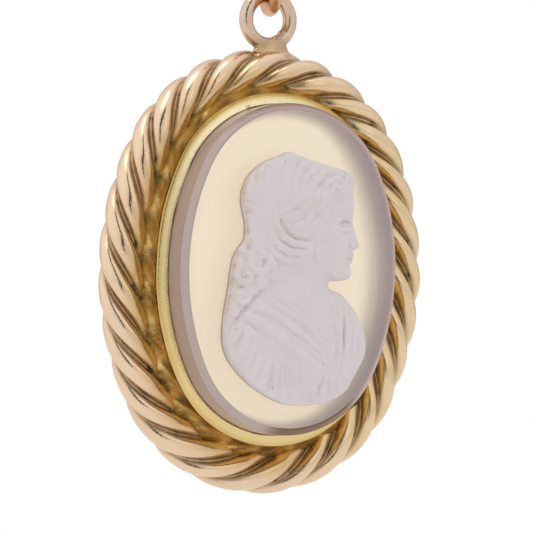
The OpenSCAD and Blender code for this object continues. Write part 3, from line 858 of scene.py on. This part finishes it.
DRESS = [
    (0.30, 0.26, 0.14, -2.75, -1.75, -1.90, -2.45, -0.70, -3.05, 0.60, -3.75, 1.70, -4.80, 2.35, -5.90),
    (0.22, 0.22, 0.10, -1.75, -1.30, -0.90, -2.05, 0.30, -2.75, 1.45, -3.75, 2.45, -5.00, 2.95, -6.20),
    (0.34, 0.30, 0.17, -3.75, -2.70, -2.60, -3.25, -1.20, -3.95, 0.20, -4.85, 1.50, -5.90, 2.55, -6.95),
    (0.34, 0.28, 0.15, -4.60, -3.45, -3.30, -3.95, -1.90, -4.75, -0.60, -5.70, 0.90, -6.60, 2.20, -7.35),
    (0.30, 0.26, 0.13, -5.10, -4.30, -3.90, -4.75, -2.70, -5.60, -1.50, -6.50, -0.60, -7.20),
    (0.26, 0.22, 0.12, -4.70, -4.70, -5.05, -5.50, -5.45, -6.30),
    (0.28, 0.24, 0.13, -4.05, -5.30, -4.55, -6.40, -5.00, -7.15),
    (0.28, 0.26, 0.13, -3.40, -5.70, -3.95, -6.90, -4.35, -7.85),
    (0.30, 0.26, 0.13, -2.75, -6.00, -3.20, -7.30, -3.60, -8.45),
    (0.28, 0.26, 0.13, -2.10, -6.40, -2.55, -7.80, -2.75, -9.00),
    (0.28, 0.26, 0.14, -1.50, -6.80, -1.70, -8.20, -1.60, -9.55),
    (0.28, 0.28, 0.13, -0.85, -7.20, -0.80, -8.50, -0.65, -9.90),
    (0.30, 0.28, 0.11, -0.10, -7.20, 0.10, -8.60, 0.25, -10.05),
    (0.30, 0.28, 0.10, 0.75, -7.20, 0.95, -8.60, 1.15, -10.05),
    (0.30, 0.26, 0.11, 1.70, -7.35, 1.70, -8.60, 1.90, -9.95),
    (0.28, 0.26, 0.13, 2.65, -7.20, 2.45, -8.40, 2.75, -9.80),
    (0.24, 0.22, 0.12, 3.30, -7.60, 3.25, -8.60, 3.55, -9.45),
    (0.20, 0.24, 0.14, 3.05, -1.95, 3.15, -3.30, 3.30, -4.70, 3.20, -6.00, 2.90, -7.00),
    (0.20, 0.24, 0.14, 3.62, -2.20, 3.72, -3.60, 3.72, -5.00, 3.60, -6.30, 3.45, -7.40),
    (0.20, 0.24, 0.14, 4.20, -2.50, 4.38, -3.80, 4.38, -5.20, 4.25, -6.50, 4.05, -7.70),
    (0.20, 0.24, 0.13, 4.80, -3.10, 5.02, -4.30, 5.00, -5.60, 4.80, -6.80, 4.55, -7.90),
    (0.20, 0.20, 0.12, 5.40, -3.95, 5.62, -5.00, 5.55, -6.10, 5.25, -7.10, 4.95, -8.00),
    (0.20, 0.20, 0.20, 3.90, -8.20, 4.35, -8.05, 4.70, -8.35, 4.60, -8.80, 4.15, -8.90, 3.88, -8.55,
     3.90, -8.20),
    (0.16, 0.14, 0.22, 4.10, -8.55, 4.45, -8.50),
]

CUTS = [
    # between the waved hair and the rolls, and between the locks and the dress
    (0.09, 0.07, -0.16, -1.90, 4.35, -1.55, 3.45, -0.75, 2.45, 0.10, 2.22, 1.10, 2.22),
    (0.10, 0.16, -0.26, -2.20, -1.05, -2.95, -1.75, -4.30, -3.15, -5.20, -4.30, -5.62, -5.30),
    (0.07, 0.06, -0.14, -2.25, -2.10, -1.00, -2.75, 0.32, -3.60),
    (0.08, 0.08, -0.17, -4.20, -3.20, -2.20, -3.66, -0.91, -4.45, 0.85, -5.50, 2.50, -6.75),
    (0.07, 0.06, -0.13, -4.45, -3.98, -3.60, -4.50, -2.82, -5.19),
    (0.07, 0.07, -0.12, -4.42, -4.87, -5.05, -6.00),
    (0.07, 0.06, -0.10, -3.78, -6.19, -4.50, -7.70),
    (0.07, 0.09, -0.16, -1.90, -7.40, -2.00, -9.10),
    (0.06, 0.07, -0.12, -1.07, -7.22, -0.80, -8.30, -0.35, -9.70),
    (0.07, 0.07, -0.14, 2.73, -7.10, 2.20, -8.60, 1.96, -9.38),
    (0.06, 0.07, -0.14, 2.81, -2.22, 3.37, -5.96, 3.05, -6.90),
    (0.06, 0.06, -0.15, 3.97, -3.68, 4.05, -5.93),
    (0.10, 0.08, -0.20, -4.40, 4.92, -4.10, 4.88),
    (0.12, 0.08, -0.20, -4.30, 1.60, -3.95, 1.25),
]

# Own design on plain proportions: hollows, swellings, lids, lips and jaw of the face
FACE_FORMS = [
    # middle x and y, half width and half height, rise
    (4.00, 3.58, 0.58, 0.36, -0.20), (3.98, 3.32, 0.27, 0.17, 0.22), (3.20, 2.20, 1.20, 1.20, 0.14),
    (4.62, 1.98, 0.22, 0.22, 0.18), (4.90, 1.78, 0.10, 0.08, -0.14), (4.30, -0.10, 0.44, 0.38, 0.14),
    (4.44, 0.40, 0.24, 0.13, -0.10), (4.16, 0.94, 0.13, 0.13, -0.12), (4.05, 4.95, 0.95, 0.85, 0.06),
]
FACE_LINES = [
    # lids, with the crease over them and the line between them
    (0.075, 0.060, 0.15, 3.42, 3.26, 3.68, 3.50, 4.02, 3.56, 4.32, 3.44),
    (0.070, 0.055, -0.12, 3.36, 3.42, 3.66, 3.70, 4.05, 3.76, 4.36, 3.64),
    (0.065, 0.050, 0.10, 3.50, 3.18, 3.80, 3.05, 4.15, 3.12),
    (0.070, 0.060, -0.08, 3.52, 3.04, 3.84, 2.88, 4.20, 2.94),
    (0.055, 0.045, -0.13, 3.46, 3.24, 3.74, 3.38, 4.04, 3.42, 4.30, 3.34),
    # brow, bridge and wing of the nose
    (0.17, 0.14, 0.13, 3.00, 3.92, 3.55, 4.20, 4.15, 4.15, 4.62, 3.94),
    (0.22, 0.22, 0.13, 4.52, 3.40, 4.78, 2.75, 5.06, 2.15),
    (0.070, 0.065, -0.13, 4.46, 2.26, 4.32, 1.98, 4.42, 1.70),
    # lips
    (0.11, 0.12, 0.13, 4.26, 1.00, 4.58, 1.15, 4.84, 1.12),
    (0.11, 0.13, 0.14, 4.28, 0.88, 4.56, 0.74, 4.76, 0.74),
    (0.055, 0.055, -0.16, 4.20, 0.96, 4.52, 0.95, 4.80, 0.94),
]
JAW = [(5.20, -0.95), (4.10, -0.62), (3.10, -0.28), (2.20, 0.22), (1.62, 0.90), (1.35, 1.80)]


def spline(points, spacing):
    """A smooth line through the points, of short straight pieces."""
    p = np.reshape(points, (-1, 2)).astype(float)
    if len(p) == 2:
        count = max(2, int(np.hypot(*(p[1] - p[0])) / spacing))
        return p[0] + (p[1] - p[0]) * np.linspace(0, 1, count)[:, None]
    ends = np.vstack([2 * p[0] - p[1], p, 2 * p[-1] - p[-2]])
    line = []
    for a, b, c, d in zip(ends[:-3], ends[1:-2], ends[2:-1], ends[3:]):
        count = max(2, int(np.hypot(*(c - b)) / spacing))
        t = np.linspace(0, 1, count, endpoint=False)[:, None]
        line.append(0.5 * (2 * b + (c - a) * t + (2 * a - 5 * b + 4 * c - d) * t ** 2
                           + (3 * b - a - 3 * c + d) * t ** 3))
    return np.vstack(line + [p[-1:]])


def curl(cx, cy, radius, start, turns, width, rise):
    """A lock rolled up into a spiral, as a row of a table of strokes."""
    t = np.linspace(0, 1, 14)
    angle = math.radians(start) + turns * 2 * math.pi * t
    r = radius * (1 - 0.78 * t)
    places = np.stack([cx + r * np.cos(angle), cy + r * np.sin(angle)], 1)
    return (width, width * 0.7, rise, *places.ravel())


def off_line(x, y, line):
    """Distance from points to a line, the place along it from 0 to 1, and 1 on its left or -1."""
    best = np.full(x.shape, 1e9)
    along = np.zeros(x.shape)
    cross = np.ones(x.shape)
    for i, (a, b) in enumerate(zip(line[:-1], line[1:])):
        ab = b - a
        dx, dy = x - a[0], y - a[1]
        f = np.clip((dx * ab[0] + dy * ab[1]) / (ab @ ab + 1e-12), 0, 1)
        d = np.hypot(dx - f * ab[0], dy - f * ab[1])
        nearer = d < best
        best = np.where(nearer, d, best)
        along = np.where(nearer, (i + f) / (len(line) - 1), along)
        cross = np.where(nearer, ab[0] * dy - ab[1] * dx, cross)
    return best, along, np.sign(cross)


def off_stroke(x, y, line, w0, w1, reach):
    """Which points are near a line, their distance from it in half widths, and their place along it."""
    limit = max(w0, w1) * reach
    low, high = line.min(0) - limit, line.max(0) + limit
    near = (x > low[0]) & (x < high[0]) & (y > low[1]) & (y < high[1])
    d, f, _ = off_line(x[near], y[near], line)
    return near, d / (w0 + (w1 - w0) * f), f


def strokes(x, y, table, sharpness, wave, fine):
    """The highest of the rounded ridges of a table, at each point, with fine hair along them."""
    top = np.zeros(x.shape)
    for number, (w0, w1, rise, *places) in enumerate(table):
        line = spline(places, 0.16)
        if wave:
            ahead = np.gradient(line, axis=0)
            size = np.hypot(ahead[:, 0], ahead[:, 1]) + 1e-9
            swing = wave * np.sin(np.cumsum(size) * 5.6 + number * 1.9)
            line = line + np.stack([-ahead[:, 1], ahead[:, 0]], 1) / size[:, None] * swing[:, None]
        near, away, f = off_stroke(x, y, line, w0, w1, 1.6)
        away = away / 1.35
        ends = np.clip(1.2 - 2 * np.abs(f - 0.5), 0.25, 1) ** 0.5
        ridge = rise * ends * np.clip(1 - away ** 2, 0, None) ** sharpness
        hair = fine * rise * np.cos(away * 9.0) * (away < 1)
        top[near] = np.maximum(top[near], ridge + hair)
    return top


def cut_lines(x, y, table, broad=1.0):
    """The sum of soft lines, cut in where their rise is below 0."""
    total = np.zeros(x.shape)
    for w0, w1, rise, *places in table:
        near, away, f = off_stroke(x, y, spline(places, 0.2), w0 * broad, w1 * broad, 3)
        ends = np.clip(1.15 - 2 * np.abs(f - 0.5), 0, 1) ** 0.5
        total[near] += rise * ends * np.exp(-away ** 2)
    return total


def inside_of(x, y, outline):
    """Whether points are inside a closed line."""
    inside = np.zeros(x.shape, bool)
    for (x0, y0), (x1, y1) in zip(outline[:-1], outline[1:]):
        if y0 != y1:
            inside ^= ((y0 > y) != (y1 > y)) & (x < (x1 - x0) * (y - y0) / (y1 - y0) + x0)
    return inside


def blur(values, inside, rounds):
    """Evens out a grid inside a mask."""
    weight = inside.astype(float)
    total = values * weight
    for _ in range(rounds):
        for axis in (0, 1):
            total = (np.roll(total, 1, axis) + 2 * total + np.roll(total, -1, axis)) / 4
            weight = (np.roll(weight, 1, axis) + 2 * weight + np.roll(weight, -1, axis)) / 4
    return np.where(inside, total / np.maximum(weight, 1e-6), values)


def dome(x, y, cx, cy, half_width, half_height):
    """A broad oval swelling, 1 high in its middle."""
    return np.clip(1 - ((x - cx) / half_width) ** 2 - ((y - cy) / half_height) ** 2, 0, 1) ** 0.7


def carve(x, y, edge_distance, edge, crown):
    """Height of the bust above the stone's face, in millimetres."""
    lip = 0.13 * np.sqrt(np.clip(1 - (1 - np.clip(edge_distance / 0.22, 0, 1)) ** 2, 0, 1))
    height = edge - SUNK + lip + crown * (1 - np.exp(-edge_distance / 1.5))
    # head, chest and shoulder
    height += 0.16 * dome(x, y, 0.6, 4.5, 4.6, 4.4)
    height += 0.14 * dome(x, y, 2.2, -5.2, 4.0, 3.6) + 0.16 * dome(x, y, -3.0, -5.6, 2.9, 3.4)

    forms = cut_lines(x, y, FACE_LINES)
    for cx, cy, w, h, rise in FACE_FORMS:
        forms += rise * np.exp(-((x - cx) / w) ** 2 - ((y - cy) / h) ** 2)
    height += forms * ease(x, 2.2, 2.8) * ease(y, -1.0, -0.6) * (y < 6)

    # the neck lies lower than the jaw
    distance, _, side = off_line(x, y, spline(JAW, 0.2))
    below_jaw = ease(distance * side, 0.0, 0.35) * ease(x, 0.9, 1.4) * ease(y, -2.6, -1.4)
    height -= 0.16 * below_jaw * (y < 2.0)

    height += 1.2 * strokes(x, y, HAIR, 0.7, 0.05, 0.05)
    height += 1.2 * strokes(x, y, [curl(*row) for row in CURLS], 0.6, 0.03, 0.05)
    height += 0.9 * strokes(x, y, DRESS, 0.7, 0.0, 0.02)
    height += cut_lines(x, y, CUTS, 1.8)
    return height


class CAMEO_OT_bust(bpy.types.Operator):
    """The bust, carved in the pale layer of the stone"""
    bl_idname = "cameo.bust"
    bl_label = "Bust"

    def execute(self, context):
        b = context.scene.cameo_bust
        step = b.step / MM
        outline = spline(OUTLINE + [OUTLINE[0]], 0.12)
        low, high = outline.min(0) - 2 * step, outline.max(0) + 2 * step
        x, y = np.meshgrid(np.arange(low[0], high[0], step), np.arange(low[1], high[1], step),
                           indexing="ij")
        inside = inside_of(x, y, outline)
        distance = off_line(x, y, outline)[0]
        height = carve(x, y, np.where(inside, distance, 0), b.edge / MM, b.crown / MM)
        height = blur(height, inside, 1)
        # painted shade: how far each point lies below its blurred surroundings, for beige in the hollows
        hollow = 0.7 * (blur(height, inside, 60) - height) + 1.5 * (blur(height, inside, 8) - height)
        # the layer is thinner, and browner, towards the back of the hair
        thin = (1 - ease(distance, 0.1, 0.9)) * ease(-x, 1.6, 3.2) * ease(y, -6.0, -3.0)

        # cells of the grid that lie wholly inside
        cells = np.nonzero(inside[:-1, :-1] & inside[1:, :-1] & inside[:-1, 1:] & inside[1:, 1:])
        corners = [(cells[0] + i, cells[1] + j) for i, j in ((0, 0), (1, 0), (1, 1), (0, 1))]
        used = np.zeros(x.shape, bool)
        for corner in corners:
            used[corner] = True
        count = used.sum()
        number = np.zeros(x.shape, int)
        number[used] = np.arange(count)
        quads = np.stack([number[corner] for corner in corners], 1)
        # place, height and masks of each point
        top = np.stack([v[used] for v in (x, y, height, hollow, thin, np.zeros(x.shape))])

        # points of the rim move out to the outline, and a wall goes down from them into the stone
        edges = np.stack([quads, np.roll(quads, -1, 1)], -1).reshape(-1, 2)
        _, first, times = np.unique(np.sort(edges, 1), axis=0, return_index=True, return_counts=True)
        rim = edges[first[times == 1]]
        rim_points = np.unique(rim)
        along = off_line(*top[:2, rim_points], outline)[1] * (len(outline) - 1)
        for axis in (0, 1):
            top[axis, rim_points] = np.interp(along, np.arange(len(outline)), outline[:, axis])
        top[2, rim_points] = b.edge / MM - SUNK
        foot = top[:, rim_points]
        foot[[2, 3, 5]] = np.array([-SUNK, 0.0, 1.0])[:, None]
        x, y, z, hollow, thin, side = np.hstack([top, foot])
        under = np.zeros(count, int)
        under[rim_points] = count + np.arange(len(rim_points))
        wall = np.stack([rim[:, 1], rim[:, 0], under[rim[:, 0]], under[rim[:, 1]]], 1)
        points = in_face(x * MM, y * MM, z * MM + context.scene.cameo_stone.face)

        fin = new_finish("pale_carved_layer")
        cloud = fin.grain(1.6, 4.0)
        pits = fin.ease(fin.grain(0.30, 1.0), 0.74, 0.80)
        worn = fin.mask("thin") * fin.ease(fin.grain(0.7, 4.0), 0.44, 0.66) * 0.7
        # painted shade in the hollows, and the worn thin layer's own beige
        beige_shade_and_wear = fin.clamp(fin.ease(fin.mask("hollow"), 0.04, 0.34) * 0.8 + worn)
        tone = fin.mix(b.lilac, b.warm_lilac, fin.ease(cloud, 0.4, 0.7))
        tone = fin.mix(tone, b.beige_shade_and_wear, beige_shade_and_wear)
        # painted shade: the relief's wall darkens towards its foot on the stone
        tone = fin.mix(tone, b.foot_shade_line, fin.ease(fin.mask("side"), 0.42, 0.8))
        tone = fin.mix(tone, b.pit, fin.clamp(pits * 0.5))
        finish = fin.plain(
            Base_Color=tone, Roughness=fin.clamp(0.42 + cloud * 0.12), Specular_IOR_Level=0.4,
            Subsurface_Weight=0.25, Subsurface_Radius=(1.0, 0.9, 0.85), Subsurface_Scale=0.0004,
            Normal=fin.bump(fin.grain(0.25, 3.0) + pits * -0.5, 0.012))
        make_piece("bust_relief", points, quads.tolist() + wall.tolist(), "cameo_stone", finish,
                   {"hollow": hollow, "side": side, "thin": thin}, sharp=60)
        return {"FINISHED"}


class CAMEO_OT_stage(bpy.types.Operator):
    """Pale floor, soft light and the camera"""
    bl_idname = "cameo.stage"
    bl_label = "Stage"

    def execute(self, context):
        s = context.scene.cameo_stage
        scene = context.scene
        scene.view_settings.view_transform = "Standard"
        scene.view_settings.look = "None"

        back = Vector((math.sin(s.turn) * math.cos(s.lift), -math.cos(s.turn) * math.cos(s.lift),
                       math.sin(s.lift)))
        right = Vector((math.cos(s.turn), math.sin(s.turn), 0))
        up = back.cross(right)
        tilt_right = math.cos(s.roll) * right + math.sin(s.roll) * up
        tilt_up = math.cos(s.roll) * up - math.sin(s.roll) * right
        middle = Vector((0, 0, PENDANT_Z))
        place = middle + s.distance * back + s.aside * tilt_right + s.above * tilt_up
        camera = add_object("camera", bpy.data.cameras.new("camera"))
        camera.data.lens = s.lens
        camera.data.clip_start = 0.01
        camera.matrix_world = Matrix((*zip(tilt_right, tilt_up, back, place), (0, 0, 0, 1)))
        scene.camera = camera

        mesh = bpy.data.meshes.new("floor")
        shape = bmesh.new()
        bmesh.ops.create_circle(shape, cap_ends=True, radius=s.floor_r, segments=96)
        shape.to_mesh(mesh)
        shape.free()
        mesh.materials.append(new_finish("pale_floor").plain(Base_Color=s.floor_colour, Roughness=0.8))
        floor = add_object("floor", mesh)
        floor.location = (0, 0, s.floor_z)

        # light tent
        scene.world = bpy.data.worlds.new("light_tent")
        tent = Finish(scene.world)
        where = tent.node("ShaderNodeTexCoord", out="Generated")
        height = tent.node("ShaderNodeSeparateXYZ", None, {0: where}, out="Z")
        to_camera = tent.along(where, back)
        sideways = tent.along(where, right)
        front = tent.ease(to_camera, 0.6, 1.0)
        behind = tent.ease(0 - to_camera, 0.1, 0.9)
        light = 0.985 + 0.15 * height - 0.10 * sideways - 0.14 * front - 0.20 * behind
        # a brighter patch of the tent, above and to the right of the camera
        patch = tent.along(where, (0.60 * right + 0.38 * up + 0.70 * back).normalized())
        light = light + 0.24 * tent.ease(patch, 0.962, 0.992)
        # the tent's slit, behind which the camera stands
        slit = tent.ease(sideways, -0.14, -0.09) * (1 - tent.ease(sideways, 0.12, 0.17))
        slit = slit * tent.ease(to_camera, 0.15, 0.3)
        light = tent.clamp(light - 0.95 * slit, 0.03, 2.0)
        tint = tent.mix(WHITE, s.back_tint, behind)
        # straight from the camera the tent is plain white
        seen = tent.node("ShaderNodeLightPath", out="Is Camera Ray")
        glow = tent.node("ShaderNodeBackground", None, {
            "Color": tent.mix(tint, WHITE, seen), "Strength": light * (1 - seen) + seen})
        tent.node("ShaderNodeOutputWorld", None, {"Surface": glow})

        lamp = add_object("key_light", bpy.data.lights.new("key_light", "AREA"))
        lamp.data.shape = "DISK"
        lamp.data.size = s.lamp_size
        lamp.data.energy = s.lamp_power
        lamp.location = s.lamp_place
        lamp.rotation_euler = (lamp.location - middle).to_track_quat("Z", "Y").to_euler()
        return {"FINISHED"}


class CAMEO_PT_panel(bpy.types.Panel):
    """Steps of the pendant's making"""
    bl_label = "Cameo pendant"
    bl_idname = "CAMEO_PT_panel"
    bl_space_type = "VIEW_3D"
    bl_region_type = "UI"
    bl_category = "Cameo"

    def draw(self, context):
        for step in STEPS:
            self.layout.operator(step.bl_idname)
        for name in GROUPS:
            box = self.layout.box()
            box.label(text=name)
            group = getattr(context.scene, name)
            for key in group.__annotations__:
                box.prop(group, key)


STEPS = (CAMEO_OT_stage, CAMEO_OT_setting, CAMEO_OT_rope, CAMEO_OT_seam, CAMEO_OT_loop,
         CAMEO_OT_jump_ring, CAMEO_OT_plaque, CAMEO_OT_bust)
GROUPS = {"cameo_stone": StoneSizes, "cameo_metal": MetalSizes, "cameo_bust": BustSizes,
          "cameo_stage": StageSettings}


def register():
    for cls in (*GROUPS.values(), *STEPS, CAMEO_PT_panel):
        bpy.utils.register_class(cls)
    for name, group in GROUPS.items():
        setattr(bpy.types.Scene, name, bpy.props.PointerProperty(type=group))


def unregister():
    for name in GROUPS:
        delattr(bpy.types.Scene, name)
    for cls in reversed((*GROUPS.values(), *STEPS, CAMEO_PT_panel)):
        bpy.utils.unregister_class(cls)


def main():
    register()
    for step in STEPS:
        group, name = step.bl_idname.split(".")
        getattr(getattr(bpy.ops, group), name)()
    bpy.context.view_layer.update()


if __name__ == "__main__":
    main()
